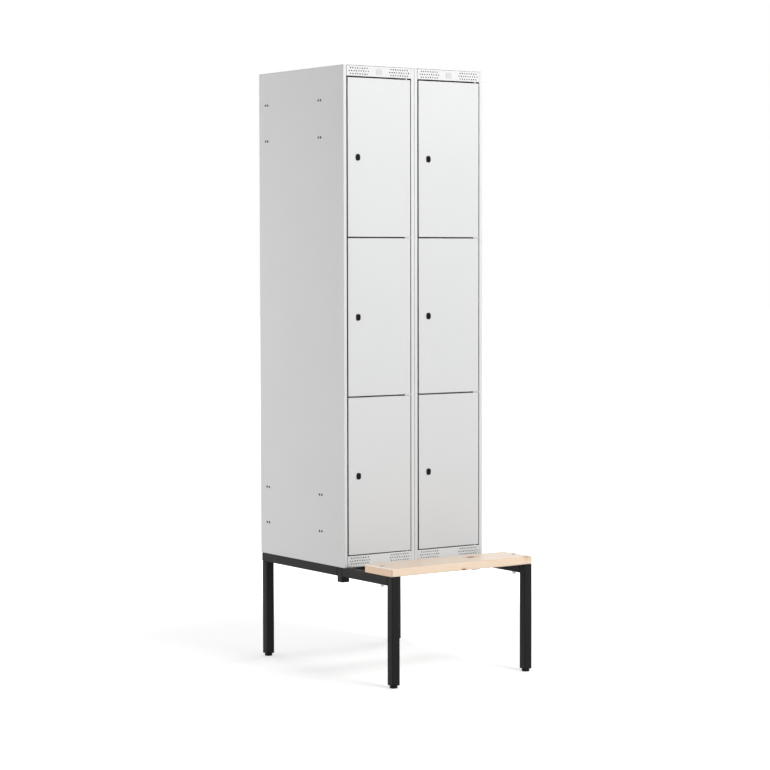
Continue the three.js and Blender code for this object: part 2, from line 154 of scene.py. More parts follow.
def object_place(tree):
    return add(tree, "ShaderNodeTexCoord").outputs["Object"]


def shifted_place(tree, seed, steps):
    """The place in the part's frame, shifted so that each finish has a pattern of its own."""
    shift = tuple(seed * step for step in steps)
    return vector(tree, "ADD", object_place(tree), shift)


def new_material(name, **values):
    """A material with a Principled shader, its even values set on the shader's own sockets."""
    material = bpy.data.materials.new(name)
    material.use_nodes = True
    tree = material.node_tree
    tree.nodes.clear()
    shader = add(tree, "ShaderNodeBsdfPrincipled")
    add(tree, "ShaderNodeOutputMaterial", {"Surface": shader.outputs["BSDF"]})
    for socket, value in values.items():
        shader.inputs[socket.replace("_", " ")].default_value = value
    return material, tree, shader


def rgba(colour, factor=1.0):
    return (*(channel * factor for channel in colour), 1.0)


def around(middle, reach):
    return middle - reach, middle + reach


# Powder coat

COAT_SHIFT = (1.7, 0.9, 2.3)
SLOT_REACH = 16 * MM
SLOT_OPENNESS = (0.14, 0.76)
SLOT_SHADE = (0.02, 1.0)
SPECKLE_SHARE = 1.6
PEEL_DEPTH = 0.25 * MM
GRAIN_DEPTH = 0.06 * MM
GREY = (0.642, 0.643, 0.640)
# The doors' grey is a little darker and bluer than the body's: painted shade, and a cool tint against
# the warm light that the pine bounces onto them.
DOOR_GREY = (0.612, 0.616, 0.619)
PLATE_GREY = (0.545, 0.540, 0.535)
TUBE_BLACK = (0.0120, 0.0118, 0.0121)


def painted_slot_shade(tree):
    """From 1 in the open to near 0 deep in slots and holes: painted shade, taken from ambient occlusion.
    """
    openness = add(tree, "ShaderNodeAmbientOcclusion", {"Distance": SLOT_REACH}, samples=6)
    return remap(tree, openness.outputs["AO"], SLOT_OPENNESS, SLOT_SHADE)


def powder_coat(name, colour, roughness, specular, seed, tone=0.012, peel=0.16, slots=False):
    """Sprayed and baked powder: faint clouds, fine speckle and the orange peel of the coat."""
    material, tree, shader = new_material(name, Specular_IOR_Level=specular)
    place = shifted_place(tree, seed, COAT_SHIFT)
    clouds = remap(tree, noise(tree, place, scale=2.4, detail=3.0), CLOUD_SPAN)
    shade = blend_colours(tree, clouds, rgba(colour, 1 - tone), rgba(colour, 1 + tone))
    speckle = noise(tree, place, scale=1400.0, detail=1.0)
    brightness = remap(tree, speckle, NOISE_SPAN, around(1.0, tone * SPECKLE_SHARE))
    # Painted shade: slots, holes and gaps are darkened by their ambient occlusion.
    if slots:
        brightness = product(tree, brightness, painted_slot_shade(tree))
    feed(tree, shader.inputs["Base Color"], scaled(tree, shade, brightness))
    patches = noise(tree, place, scale=17.0, detail=4.0, roughness=0.6)
    feed(tree, shader.inputs["Roughness"], remap(tree, patches, NOISE_SPAN, around(roughness, 0.035)))
    waves = noise(tree, place, scale=430.0, detail=2.0, roughness=0.55)
    grain = noise(tree, place, scale=1900.0, detail=1.0)
    normal = bump(tree, waves, peel, PEEL_DEPTH)
    feed(tree, shader.inputs["Normal"], bump(tree, grain, peel * 0.6, GRAIN_DEPTH, normal))
    return material


body_grey = powder_coat("body_grey", GREY, roughness=0.46, specular=0.45, seed=1, slots=True)
door_grey = powder_coat("door_grey", DOOR_GREY, roughness=0.42, specular=0.45, seed=2, slots=True)
tube_black = powder_coat(
    "tube_black", TUBE_BLACK, roughness=0.45, specular=0.10, seed=3, tone=0.10, peel=0.3,
)
plate_grey = powder_coat("plate_grey", PLATE_GREY, roughness=0.34, specular=0.5, seed=8)


# Plastic

PLASTIC_SHIFT = (1.0, 2.0, 3.0)
PLASTIC_GRAIN_DEPTH = 0.05 * MM
LOCK_BLACK = (0.003, 0.003, 0.0031)
FOOT_BLACK = (0.007, 0.007, 0.007)


def plastic(name, colour, roughness, specular, seed):
    """Moulded plastic with a fine spark-eroded grain."""
    material, tree, shader = new_material(name, Specular_IOR_Level=specular)
    place = shifted_place(tree, seed, PLASTIC_SHIFT)
    clouds = noise(tree, place, scale=60.0, detail=3.0)
    shade = blend_colours(tree, clouds, rgba(colour, 0.85), rgba(colour, 1.15))
    feed(tree, shader.inputs["Base Color"], shade)
    patches = noise(tree, place, scale=220.0, detail=3.0)
    feed(tree, shader.inputs["Roughness"], remap(tree, patches, NOISE_SPAN, around(roughness, 0.05)))
    grain = noise(tree, place, scale=2600.0, detail=2.0)
    feed(tree, shader.inputs["Normal"], bump(tree, grain, 0.25, PLASTIC_GRAIN_DEPTH))
    return material


lock_black = plastic("lock_black", LOCK_BLACK, roughness=0.42, specular=0.12, seed=4)
foot_black = plastic("foot_black", FOOT_BLACK, roughness=0.55, specular=0.2, seed=5)


# Zinc

ZINC_SHIFT = (1.0, 1.0, 1.0)
ZINC_ROUGHNESS = (0.28, 0.45)
SCRATCH_STRETCH = (1.0, 1.0, 14.0)
SCRATCH_DEPTH = 0.04 * MM


def zinc_plate(name, seed, dull, bright):
    """Zinc over turned steel: fine scratches round the axis and a slight bloom."""
    material, tree, shader = new_material(name, Metallic=1.0)
    place = shifted_place(tree, seed, ZINC_SHIFT)
    bloom = noise(tree, place, scale=140.0, detail=4.0)
    feed(tree, shader.inputs["Base Color"], blend_colours(tree, bloom, rgba(dull), rgba(bright)))
    turned = stretched(tree, place, SCRATCH_STRETCH)
    scratches = noise(tree, turned, scale=900.0, detail=3.0, roughness=0.7)
    feed(tree, shader.inputs["Roughness"], remap(tree, scratches, NOISE_SPAN, ZINC_ROUGHNESS))
    feed(tree, shader.inputs["Normal"], bump(tree, scratches, 0.2, SCRATCH_DEPTH))
    return material


zinc = zinc_plate("zinc", seed=6, dull=(0.50, 0.50, 0.52), bright=(0.66, 0.66, 0.66))
worn_zinc = zinc_plate("worn_zinc", seed=7, dull=(0.29, 0.29, 0.29), bright=(0.42, 0.42, 0.41))


# Pine

# Each knot's middle, its radius, and how dark it is
KNOTS = (
    ((0.1075, -0.316, 0.408), 0.0122, 1.0),
    ((0.0010, -0.420, 0.3815), 0.0052, 1.0),
    ((0.2770, -0.413, 0.406), 0.0080, 0.50),
    ((-0.165, -0.286, 0.380), 0.0060, 0.80),
)
KNOT_STRETCH = (0.66, 1.0, 1.0)
KNOT_BULGE_SPREAD = 2.6
KNOT_BULGE_HEIGHT = 1.5
EULER = 2.718

# Where a knot's heart ends and where its halo ends, as shares of its radius
KNOT_HEART_EDGE = (0.66, 1.08)
KNOT_HALO_EDGE = (0.9, 2.6)
KNOT_HALO_SHARE = 0.75
KNOT_RING_WIDTH = 1.1 * MM
KNOT_DARK = (0.105, 0.036, 0.020)
KNOT_HALO = (0.60, 0.33, 0.19)

PITH = (0.0, -0.352, 0.322)
PITH_STRETCH = (0.055, 1.0, 1.0)
RING_WIDTH = 4.6 * MM
RING_DRIFT = 22 * MM
RING_SOFTENING = 0.34

# The patterns of the wood are drawn out along the board
DRIFT_STRETCH = (2.2, 9.0, 9.0)
CLOUD_STRETCH = (2.4, 16.0, 16.0)
FIBRE_STRETCH = (14.0, 1100.0, 1100.0)
PORE_STRETCH = (1.0, 900.0, 900.0)

RING_COLOURS = (
    (0.0, (0.840, 0.690, 0.540)),
    (0.30, (0.830, 0.675, 0.520)),
    (0.74, (0.765, 0.580, 0.415)),
    (0.90, (0.665, 0.455, 0.285)),
    (1.0, (0.825, 0.660, 0.505)),
)
PALE_WOOD = (0.845, 0.700, 0.555)
WARM_WOOD = (0.785, 0.610, 0.460)
FIBRE_BROWN = (0.66, 0.45, 0.29)
END_BROWN = (0.80, 0.50, 0.28)
PAINTED_CORNER_SHADE = (0.52, 0.30, 0.17)
PAINTED_EDGE_HIGHLIGHT = (0.95, 0.88, 0.80)
RING_RELIEF = 0.12 * MM
FIBRE_RELIEF = 0.10 * MM

# Where the tints at the board's ends begin and where they are full, measured from its edges. The upper
# and outer bands carry a painted highlight, and the front band a painted shade.
UPPER_BAND = (5.0 * MM, 2.6 * MM)
OUTER_BAND = (2.6 * MM, 1.2 * MM)
FRONT_BAND = (7.5 * MM, 4.5 * MM)
END_FACING = (0.6, 0.9)


def ring_radius(tree, place):
    """The distance from the pith, with a slow drift along the board."""
    slow = stretched(tree, place, DRIFT_STRETCH)
    drift = noise(tree, slow, scale=1.0, detail=2.0, output="Color")
    centred = vector(tree, "SUBTRACT", drift, (0.5, 0.5, 0.5))
    bent = vector(tree, "ADD", place, stretched(tree, centred, (0.0, RING_DRIFT, RING_DRIFT)))
    across = stretched(tree, vector(tree, "SUBTRACT", bent, PITH), PITH_STRETCH)
    return vector(tree, "LENGTH", across)


def around_knots(tree, place, radius):
    """Bends the rings round the knots. Also gives the knots' hearts and the halos around them."""
    heart = 0.0
    halo = 0.0
    for centre, size, strength in KNOTS:
        offset = stretched(tree, vector(tree, "SUBTRACT", place, centre), KNOT_STRETCH)
        away = vector(tree, "LENGTH", offset)
        spread = number(tree, "DIVIDE", away, size * KNOT_BULGE_SPREAD)
        falling = product(tree, product(tree, spread, spread), -1.0)
        bulge = number(tree, "POWER", EULER, falling)
        radius = number(tree, "ADD", radius, product(tree, bulge, size * KNOT_BULGE_HEIGHT))
        heart_edge = [size * share for share in KNOT_HEART_EDGE]
        halo_edge = [size * share for share in KNOT_HALO_EDGE]
        core = remap(tree, away, heart_edge, (1.0, 0.0), smooth=True)
        glow = remap(tree, away, halo_edge, (KNOT_HALO_SHARE, 0.0), smooth=True)
        heart = number(tree, "MAXIMUM", heart, product(tree, core, strength))
        halo = number(tree, "MAXIMUM", halo, product(tree, glow, strength))
    return radius, heart, halo


def painted_end_light(tree, place, on_end):
    """Near 1 along the upper edges of the board's ends, where a highlight is painted, and near 1 along
    their front corners, where shade is painted.
    """
    low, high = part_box("bench_board")
    apart = split(tree, place)
    outward = number(tree, "ABSOLUTE", apart["X"])
    upper = remap(tree, apart["Z"], [high.z - depth for depth in UPPER_BAND])
    outer = remap(tree, outward, [high.x - depth for depth in OUTER_BAND])
    front = remap(tree, apart["Y"], [low.y + depth for depth in FRONT_BAND])
    return product(tree, upper, outer), product(tree, front, on_end)


def on_board_ends(tree):
    """1 on the faces that look left or right."""
    facing = add(tree, "ShaderNodeNewGeometry").outputs["Normal"]
    sideways = number(tree, "ABSOLUTE", split(tree, facing)["X"])
    return remap(tree, sideways, END_FACING)


def long_grain(tree, place, phase, fibres):
    """The rings' colours, softened, with slow clouds and fine fibres over them."""
    rings = ramp(tree, phase, RING_COLOURS)
    softened = blend_colours(tree, RING_SOFTENING, rings, rgba(PALE_WOOD))
    clouds = noise(tree, stretched(tree, place, CLOUD_STRETCH), scale=1.0, detail=3.0)
    cloudy = remap(tree, clouds, CLOUD_SPAN, (0.0, 0.55))
    tinted = blend_colours(tree, cloudy, softened, rgba(WARM_WOOD))
    lined = remap(tree, fibres, (0.35, 0.75), (0.0, 0.26))
    return blend_colours(tree, lined, tinted, rgba(FIBRE_BROWN))


def pine_wood(name):
    """Lacquered pine cut beside the pith: rings along the board, arcs on its ends, a few knots."""
    material, tree, shader = new_material(name, Specular_IOR_Level=0.4, Coat_Roughness=0.20)
    place = object_place(tree)
    radius, heart, halo = around_knots(tree, place, ring_radius(tree, place))
    phase = number(tree, "FRACT", number(tree, "DIVIDE", radius, RING_WIDTH))
    thin = stretched(tree, place, FIBRE_STRETCH)
    fibres = noise(tree, thin, scale=1.0, detail=3.0, roughness=0.6)
    colour = long_grain(tree, place, phase, fibres)
    on_end = on_board_ends(tree)
    pores = noise(tree, stretched(tree, place, PORE_STRETCH), scale=1.0, detail=2.0)
    soaked = remap(tree, pores, (0.3, 0.8), (0.45, 0.75))
    colour = blend_colours(tree, product(tree, on_end, soaked), colour, rgba(END_BROWN))
    colour = blend_colours(tree, halo, colour, rgba(KNOT_HALO))
    growth = number(tree, "FRACT", number(tree, "DIVIDE", radius, KNOT_RING_WIDTH))
    knot_colour = scaled(tree, KNOT_DARK, remap(tree, growth, (0.0, 1.0), (0.75, 1.0)))
    colour = blend_colours(tree, heart, colour, knot_colour)
    # Painted shade darkens the front corners of the ends, and a painted highlight lightens their upper
    # edges.
    painted_edge_highlight, painted_corner_shade = painted_end_light(tree, place, on_end)
    colour = blend_colours(tree, product(tree, painted_corner_shade, 0.75), colour, rgba(PAINTED_CORNER_SHADE))
    colour = blend_colours(tree, product(tree, painted_edge_highlight, 0.85), colour, rgba(PAINTED_EDGE_HIGHLIGHT))
    feed(tree, shader.inputs["Base Color"], colour)
    feed(tree, shader.inputs["Coat Weight"], remap(tree, heart, (0.0, 0.8), (0.55, 0.0)))
    dry = number(tree, "ADD", fibres, heart)
    feed(tree, shader.inputs["Roughness"], remap(tree, dry, (0.3, 1.7), (0.38, 0.80)))
    relief = bump(tree, phase, 0.10, RING_RELIEF)
    feed(tree, shader.inputs["Normal"], bump(tree, fibres, 0.22, FIBRE_RELIEF, relief))
    return material


pine = pine_wood("pine")


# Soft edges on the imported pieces

FOLD_ANGLE = math.radians(50)
MERGE_DISTANCE = 0.01 * MM
EDGE_SEGMENTS = 2
FACE_WEIGHT = 80


def smoothing_group():
    """Merges the corners of a mesh and shades it smooth over folds up to the fold angle."""
    group = bpy.data.node_groups.new("smooth_folds", "GeometryNodeTree")
    group.interface.new_socket("Geometry", in_out="INPUT", socket_type="NodeSocketGeometry")
    group.interface.new_socket("Geometry", in_out="OUTPUT", socket_type="NodeSocketGeometry")
    start = group.nodes.new("NodeGroupInput")
    end = group.nodes.new("NodeGroupOutput")
    merge = group.nodes.new("GeometryNodeMergeByDistance")
    merge.inputs["Distance"].default_value = MERGE_DISTANCE
    drop = group.nodes.new("GeometryNodeRemoveAttribute")
    drop.inputs["Name"].default_value = "custom_normal"
    faces = group.nodes.new("GeometryNodeSetShadeSmooth")
    faces.inputs["Shade Smooth"].default_value = True
    edges = group.nodes.new("GeometryNodeSetShadeSmooth")
    edges.domain = "EDGE"
    angle = group.nodes.new("GeometryNodeInputMeshEdgeAngle")
    flat = group.nodes.new("FunctionNodeCompare")
    flat.operation = "LESS_THAN"
    flat.inputs["B"].default_value = FOLD_ANGLE
    link = group.links.new
    link(start.outputs[0], drop.inputs["Geometry"])
    link(drop.outputs["Geometry"], merge.inputs["Geometry"])
    link(merge.outputs["Geometry"], faces.inputs["Geometry"])
    link(faces.outputs["Geometry"], edges.inputs["Geometry"])
    link(angle.outputs["Unsigned Angle"], flat.inputs["A"])
    link(flat.outputs["Result"], edges.inputs["Shade Smooth"])
    link(edges.outputs["Geometry"], end.inputs[0])
    return group


SMOOTH = smoothing_group()


def soften(piece, width=0.0):
    """Rounds the piece's edges a little and gives flat faces flat normals."""
    piece.modifiers.new("smooth_folds", "NODES").node_group = SMOOTH
    if width:
        edge = piece.modifiers.new("soft_edges", "BEVEL")
        edge.width = width
        edge.segments = EDGE_SEGMENTS
        edge.limit_method = "ANGLE"
        edge.angle_limit = FOLD_ANGLE
        edge.use_clamp_overlap = True
        edge.harden_normals = False
    weigh = piece.modifiers.new("flat_faces", "WEIGHTED_NORMAL")
    weigh.keep_sharp = True
    weigh.weight = FACE_WEIGHT


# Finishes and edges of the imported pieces

SLOT_FINISH = {
    "grey_sheet": body_grey,
    "black_tube": tube_black,
    "pine": pine,
    "zinc": zinc,
    "lock_plastic": lock_black,
    "foot_plastic": foot_black,
}
EDGE_WIDTH = {
    "black_tube": 0.4 * MM,
    "lock_plastic": 0.8 * MM,
    "foot_plastic": 0.5 * MM,
    "pine": 0.6 * MM,
    "zinc": 0.3 * MM,
}
SLOT_OF_NODE = {part["node"]: part["material_slot"] for part in frame["record"]["subparts"]}


def finish_of(name):
    if name.endswith("_door"):
        return door_grey
    if name.endswith("_bench_bolt"):
        return worn_zinc
    return SLOT_FINISH[SLOT_OF_NODE[name]]


def dress(name):
    for slot in NODES[name].material_slots:
        slot.material = finish_of(name)
    soften(NODES[name], EDGE_WIDTH.get(SLOT_OF_NODE[name], 0.0))


for node_name in NODES:
    dress(node_name)


# New pieces

def mesh_piece(name, build, finish, body):
    """Makes a piece from bmesh code, in the part's own frame, and hangs it on a body."""
    shape = bmesh.new()
    build(shape)
    bmesh.ops.recalc_face_normals(shape, faces=shape.faces)
    mesh = bpy.data.meshes.new(name)
    shape.to_mesh(mesh)
    shape.free()
    piece = bpy.data.objects.new(name, mesh)
    SCENE.collection.objects.link(piece)
    mesh.materials.append(finish)
    soften(piece)
    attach(piece, body)


def loft(shape, rings, capped=True):
    """Joins rings of points by faces, and caps the ends."""
    rows = [[shape.verts.new(place) for place in ring] for ring in rings]
    count = len(rows[0])
    for lower, upper in zip(rows, rows[1:]):
        for index in range(count):
            after = (index + 1) % count
            shape.faces.new((lower[index], lower[after], upper[after], upper[index]))
    if capped:
        shape.faces.new(rows[0])
        shape.faces.new(rows[-1])


def turned_rings(centre, axis, profile, sides):
    """Turns (radius, height) points round an axis through the centre."""
    turn = Vector(axis).to_track_quat("Z", "X").to_matrix()
    rings = []
    for radius, height in profile:
        ring = []
        for index in range(sides):
            angle = 2 * math.pi * index / sides
            spot = Vector((radius * math.cos(angle), radius * math.sin(angle), height))
            ring.append(centre + turn @ spot)
        rings.append(ring)
    return rings


def turned_piece(shape, centre, axis, profile, sides):
    loft(shape, turned_rings(centre, axis, profile, sides))


def turned_ring(shape, centre, axis, profile, sides):
    """Turns a closed outline, so that the middle stays open."""
    outline = (*profile, profile[0])
    loft(shape, turned_rings(centre, axis, outline, sides), capped=False)
    bmesh.ops.remove_doubles(shape, verts=shape.verts, dist=MERGE_DISTANCE)


def rounded_outline(width, height, radius, steps):
    places = []
    centres = ((1, 1), (-1, 1), (-1, -1), (1, -1))
    for index, (right, up) in enumerate(centres):
        for step in range(steps + 1):
            angle = math.pi / 2 * (index + step / steps)
            places.append((
                right * (width / 2 - radius) + radius * math.cos(angle),
                up * (height / 2 - radius) + radius * math.sin(angle),
            ))
    return places


# Bare plates on the headers

PLATE_WIDTH = 24.5 * MM
PLATE_HEIGHT = 18.6 * MM
PLATE_THICKNESS = 0.9 * MM
PLATE_RADIUS = 1.8 * MM
PLATE_CORNER_STEPS = 5
PLATE_MIDDLE = 2100 * MM
PLATE_GLUE = 0.02 * MM

# How far each layer's outline is drawn in, and how far forward it lies as a share of the thickness
PLATE_LAYERS = ((0.0, 0.0), (0.0, 0.55), (0.18 * MM, 0.85), (0.5 * MM, 1.0))


def header_plate(shape, centre):
    rings = []
    for inset, share in PLATE_LAYERS:
        width = PLATE_WIDTH - 2 * inset
        height = PLATE_HEIGHT - 2 * inset
        outline = rounded_outline(width, height, PLATE_RADIUS, PLATE_CORNER_STEPS)
        y = centre.y - PLATE_THICKNESS * share
        rings.append([(centre.x + x, y, centre.z + z) for x, z in outline])
    loft(shape, rings)


for side in SIDES:
    low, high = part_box(f"{side}_locker_header")
    centre = Vector(((low.x + high.x) / 2, low.y - PLATE_GLUE, PLATE_MIDDLE))
    mesh_piece(
        f"{side}_header_plate",
        lambda shape: header_plate(shape, centre),
        plate_grey, STAND,
    )


# Weld beads in the inner corners of the frame

BEAD_SIZE = 2.185 * MM
BEAD_STEP = 0.75 * MM
BEAD_FEWEST_STEPS = 6
BEAD_RIPPLE = 3.1 * MM
BEAD_RIPPLE_HEIGHT = 0.13
BEAD_END_SIZE = 0.55
BEAD_ROOT = 0.25 * MM
BEAD_ARC_POINTS = 6
BEAD_TAPER_STEPS = 3
BEAD_MARGIN = 3.5 * MM
RAIL_BEAD_GAP = 0.1 * MM
BAR_BEAD_DEPTH = 0.2 * MM


def weld_bead(shape, start, end, first, second):
    """A rippled fillet along an inner corner. The two directions lie along the corner's faces."""
    start = Vector(start)
    end = Vector(end)
    first = Vector(first)
    second = Vector(second)
    along = end - start
    count = max(BEAD_FEWEST_STEPS, int(along.length / BEAD_STEP))
    rings = []
    for step in range(count + 1):
        share = step / count
        waves = share * along.length / BEAD_RIPPLE
        ripple = 1.0 + BEAD_RIPPLE_HEIGHT * math.sin(2 * math.pi * waves)
        from_end = min(step, count - step)
        fullness = math.sin(math.pi / 2 * min(1.0, from_end / BEAD_TAPER_STEPS))
        reach = BEAD_SIZE * ripple * (BEAD_END_SIZE + (1 - BEAD_END_SIZE) * fullness)
        centre = start + along * share
        arc = []
        for index in range(BEAD_ARC_POINTS):
            angle = math.pi / 2 * index / (BEAD_ARC_POINTS - 1)
            outward = first * math.cos(angle) + second * math.sin(angle)
            arc.append(centre + outward * reach)
        arc.append(centre - (first + second) * BEAD_ROOT)
        rings.append(arc)
    loft(shape, rings)


def rail_welds(shape, side):
    """Where the legs and the corner post stand under a side rail."""
    rail_low, rail_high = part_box(f"{side}_side_rail")
    under = rail_low.z - RAIL_BEAD_GAP
    x_low = rail_low.x + BEAD_MARGIN
    x_high = rail_high.x - BEAD_MARGIN
    for node, face in (("rear_leg", -1), ("corner_post", -1), ("corner_post", 1), ("front_leg", 1)):
        low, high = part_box(f"{side}_{node}")
        y = low.y if face < 0 else high.y
        weld_bead(shape, (x_low, y, under), (x_high, y, under), (0, face, 0), (0, 0, -1))


def bar_welds(shape, bar):
    """Where a crossbar meets the side rails, below it and, at the rear, also in front of it."""
    low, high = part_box(bar)
    y_low = low.y + BEAD_MARGIN
    y_high = high.y - BEAD_MARGIN
    z_low = low.z + BEAD_MARGIN
    z_high = high.z - BEAD_MARGIN
    for x, inward in ((low.x, 1), (high.x, -1)):
        corner = x - inward * BAR_BEAD_DEPTH
        weld_bead(shape, (corner, y_low, low.z), (corner, y_high, low.z), (inward, 0, 0), (0, 0, -1))
        if bar == "rear_crossbar":
            weld_bead(shape, (corner, low.y, z_low), (corner, low.y, z_high), (inward, 0, 0), (0, -1, 0))


def frame_welds(shape):
    for side in SIDES:
        rail_welds(shape, side)
    for bar in ("front_crossbar", "rear_crossbar"):
        bar_welds(shape, bar)


mesh_piece("frame_welds", frame_welds, tube_black, STAND)


# Screws that join the two lockers, black rings of painted shade in the open holes, and screws that hold
# the lockers down

SHEET = 1.0 * MM
HEAD_SIDES = 24
NUT_SIDES = 6
SCREW_SIDES = 16
SHADE_RING_SIDES = 20

# A pan head: its straight rim and its dome as shares of its size, and the number of steps of the dome
HEAD_RADIUS = 5.2 * MM
HEAD_HEIGHT = 2.6 * MM
HEAD_RIM = 0.45
HEAD_DOME = 0.55
HEAD_DOME_STEPS = 5
HEAD_SOCKET = ((0.42, 1.0), (0.40, 0.35), (0.05, 0.3))

# Radius and height of the points of each section, in millimetres
NUT_SECTION = ((4.928, 0.0), (5.6, 0.48), (5.6, 3.52), (4.928, 4.0))
SCREW_SECTION = ((2.9, 3.6), (2.9, 5.6), (2.3, 6.1))
SHADE_RING_SECTION = (
    (2.2, -1.4), (2.75, -1.4), (2.75, 0.02), (4.35, 0.02),
    (4.3, 0.25), (3.9, 0.5), (2.6, 0.5), (2.2, 0.2),
)

FIXING_FROM_ENDS = (115 * MM, 244 * MM)
FIXING_FROM_FRONT = 150 * MM
FIXING_FROM_BACK = 52 * MM
FIXING_HALF_PITCH = 7.5 * MM

STAND_SCREW_PLACES = (-60 * MM, 330 * MM)
STAND_SCREW_INWARD = 2 * MM


def in_metres(section):
    return [(radius * MM, height * MM) for radius, height in section]


def pan_head(shape, centre, axis):
    """A pan head screw with a socket in its middle."""
    shares = [(1.0, 0.0), (1.0, HEAD_RIM)]
    for step in range(1, HEAD_DOME_STEPS):
        angle = math.pi / 2 * step / HEAD_DOME_STEPS
        across = HEAD_RIM + HEAD_DOME * math.cos(angle)
        up = HEAD_RIM + HEAD_DOME * math.sin(angle)
        shares.append((across, up))
    shares.extend(HEAD_SOCKET)
    profile = [(HEAD_RADIUS * across, HEAD_HEIGHT * up) for across, up in shares]
    turned_piece(shape, centre, axis, profile, HEAD_SIDES)


def screw_nut(shape, centre, axis):
    """A hexagon nut with the end of its screw."""
    turned_piece(shape, centre, axis, in_metres(NUT_SECTION), NUT_SIDES)
    turned_piece(shape, centre, axis, in_metres(SCREW_SECTION), SCREW_SIDES)


def fixing_places(node):
    """The middle of each pair of fixing holes in a side wall, as (y, z)."""
    low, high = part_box(node)
    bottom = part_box("left_locker_floor")[0].z
    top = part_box("left_locker_roof")[1].z
    heights = [z for from_end in FIXING_FROM_ENDS for z in (bottom + from_end, top - from_end)]
    depths = (low.y + FIXING_FROM_FRONT, high.y - FIXING_FROM_BACK)
    return [(y, z) for z in heights for y in depths]


def joining_screws(shape):
    left_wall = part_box("left_locker_right_side")
    right_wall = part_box("right_locker_left_side")
    for y, z in fixing_places("left_locker_right_side"):
        pan_head(shape, Vector((left_wall[1].x - SHEET, y, z)), (-1, 0, 0))
        screw_nut(shape, Vector((right_wall[0].x + SHEET, y, z)), (1, 0, 0))


mesh_piece("joining_screws", joining_screws, zinc, STAND)


def hole_shade_rings(shape, node, outward):
    """Black plastic rings in the open fixing holes of an outer wall: painted shade that widens the
    holes' dark dots.
    """
    low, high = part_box(node)
    wall_face = low.x if outward < 0 else high.x
    section = in_metres(SHADE_RING_SECTION)
    for y, z in fixing_places(node):
        for offset in (-FIXING_HALF_PITCH, FIXING_HALF_PITCH):
            centre = Vector((wall_face, y + offset, z))
            turned_ring(shape, centre, (outward, 0, 0), section, SHADE_RING_SIDES)


for side, outward in (("left", -1), ("right", 1)):
    wall = f"{side}_locker_{side}_side"
    mesh_piece(
        f"{side}_hole_shade_rings",
        lambda shape: hole_shade_rings(shape, wall, outward),
        lock_black, STAND,
    )


def stand_screws(shape):
    """Through the floor trays into the side rails."""
    for side, inward in (("left", 1), ("right", -1)):
        low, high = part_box(f"{side}_side_rail")
        x = (low.x + high.x) / 2 + inward * STAND_SCREW_INWARD
        floor_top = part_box(f"{side}_locker_floor")[0].z + SHEET
        for y in STAND_SCREW_PLACES:
            pan_head(shape, Vector((x, y, floor_top)), (0, 0, 1))


mesh_piece("stand_screws", stand_screws, zinc, STAND)


# Threads on the stems of the levelling feet

THREAD_BOTTOM = 11.2 * MM
THREAD_TOP = 44.0 * MM
THREAD_CORE = 4.85 * MM
THREAD_CREST = 5.18 * MM
THREAD_PITCH = 1.5 * MM
THREAD_SIDES = 14

# Radius of each point of the thread's section, and its height as a share of the pitch
THREAD_SECTION = (
    (THREAD_CORE, -0.46), (THREAD_CREST, -0.06), (THREAD_CREST, 0.06), (THREAD_CORE, 0.46),
)


def thread(shape, centre):
    steps = int((THREAD_TOP - THREAD_BOTTOM) / THREAD_PITCH * THREAD_SIDES)
    rows = []
    for step in range(steps + 1):
        angle = 2 * math.pi * step / THREAD_SIDES
        climb = THREAD_PITCH * step / THREAD_SIDES
        direction = Vector((math.cos(angle), math.sin(angle), 0))
        row = []
        for radius, share in THREAD_SECTION:
            height = THREAD_BOTTOM + climb + share * THREAD_PITCH
            row.append(centre + direction * radius + Vector((0, 0, height)))
        rows.append(row)
    loft(shape, rows)


for side in SIDES:
    for end in ("rear", "front"):
        low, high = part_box(f"{side}_{end}_foot")
        middle = Vector(((low.x + high.x) / 2, (low.y + high.y) / 2, 0.0))
        mesh_piece(
            f"{side}_{end}_foot_thread",
            lambda shape: thread(shape, middle),
            foot_black, f"{side}_{end}_levelling_foot",
        )


# Room: floor, background, light

AMBIENT = 0.35
WHITE = (1.0, 1.0, 1.0, 1.0)
FLOOR_REACH = 40.0
FLOOR_TONE = (0.775, 0.785)
FLOOR_SHADED = (0.66, 0.66, 0.66, 1.0)
FLOOR_GLOW = (0.46, 1.0)
FLOOR_GLOW_FROM = (1.0, 2.6)

# Each lamp's name, place, target, width, height and power
LAMPS = (
    ("key", (0.5, -2.8, 3.1), (0.0, -0.13, 1.8), 1.4, 1.0, 68.0),
    ("front_fill", (0.5, -5.5, 1.6), (0.0, -0.1, 1.1), 2.0, 2.0, 70.0),
    ("left_fill", (-3.8, 1.8, 1.1), (-0.3, 0.2, 1.05), 2.4, 3.0, 66.0),
    ("right_fill", (4.5, 1.2, 2.2), (0.0, 0.1, 1.2), 3.0, 3.0, 104.0),
    ("back_fill", (-0.6, 5.0, 2.2), (0.0, 0.1, 1.2), 3.0, 3.0, 78.0),
)


def seen_directly(tree):
    """1 for what the camera sees, straight or in gloss or glass, and 0 for what lights the object."""
    rays = add(tree, "ShaderNodeLightPath").outputs
    seen = number(tree, "MAXIMUM", rays["Is Camera Ray"], rays["Is Glossy Ray"])
    return number(tree, "MAXIMUM", seen, rays["Is Transmission Ray"])


def studio_world():
    world = bpy.data.worlds.new("studio")
    SCENE.world = world
    world.use_nodes = True
    tree = world.node_tree
    tree.nodes.clear()
    ambient = add(tree, "ShaderNodeBackground", {"Color": WHITE, "Strength": AMBIENT}).outputs[0]
    white = add(tree, "ShaderNodeBackground", {"Color": WHITE, "Strength": 1.0}).outputs[0]
    mixed = add(tree, "ShaderNodeMixShader", {0: seen_directly(tree), 1: ambient, 2: white})
    add(tree, "ShaderNodeOutputWorld", {"Surface": mixed.outputs[0]})


